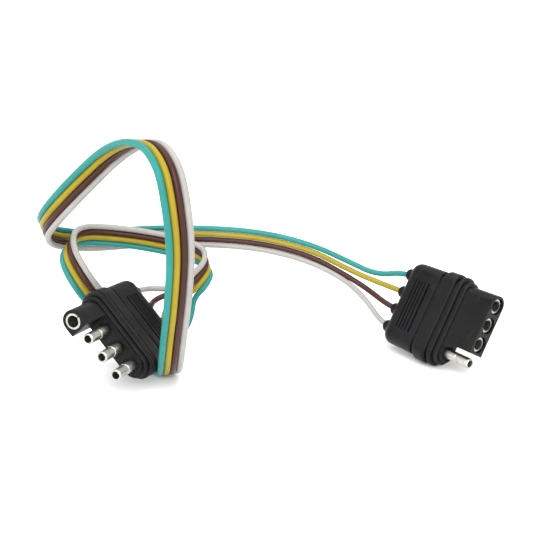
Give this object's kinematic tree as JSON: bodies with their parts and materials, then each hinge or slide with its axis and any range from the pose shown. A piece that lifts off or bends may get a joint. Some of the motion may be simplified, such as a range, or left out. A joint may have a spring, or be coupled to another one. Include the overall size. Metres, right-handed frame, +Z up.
{
  "type": "trailer wiring extension",
  "caption": "Flat bonded trailer light cable with a moulded bullet connector at each end, its cable folded in a standing loop.",
  "frame": {"origin": "middle of the bottom of the box round the two connectors, which is the floor that the harness stands on", "axes": "+X from the trailer connector towards the vehicle connector, +Y away from the side the contacts face, +Z up"},
  "size_m": [0.2153, 0.1068, 0.1105],
  "materials": {
    "black_moulding": "satin black moulded PVC with a fine texture",
    "plated_contact": "brass with bright nickel plating",
    "copper": "bare stranded copper, drawn as one round bar",
    "green_insulation": "semi-gloss teal green PVC insulation",
    "yellow_insulation": "semi-gloss yellow PVC insulation",
    "brown_insulation": "semi-gloss brown PVC insulation",
    "white_insulation": "semi-gloss white PVC insulation"
  },
  "bodies": {
    "root": {"vehicle_connector_body": "black_moulding", "vehicle_green_socket": "plated_contact", "vehicle_green_conductor_end": "copper", "vehicle_yellow_socket": "plated_contact", "vehicle_yellow_conductor_end": "copper", "vehicle_brown_socket": "plated_contact", "vehicle_brown_conductor_end": "copper", "vehicle_white_pin": "plated_contact", "vehicle_white_conductor_end": "copper", "trailer_connector_body": "black_moulding", "trailer_green_pin": "plated_contact", "trailer_green_conductor_end": "copper", "trailer_yellow_pin": "plated_contact", "trailer_yellow_conductor_end": "copper", "trailer_brown_pin": "plated_contact", "trailer_brown_conductor_end": "copper", "trailer_white_socket": "plated_contact", "trailer_white_conductor_end": "copper", "green_wire": "green_insulation", "yellow_wire": "yellow_insulation", "brown_wire": "brown_insulation", "white_wire": "white_insulation"}
  },
  "joints": []
}
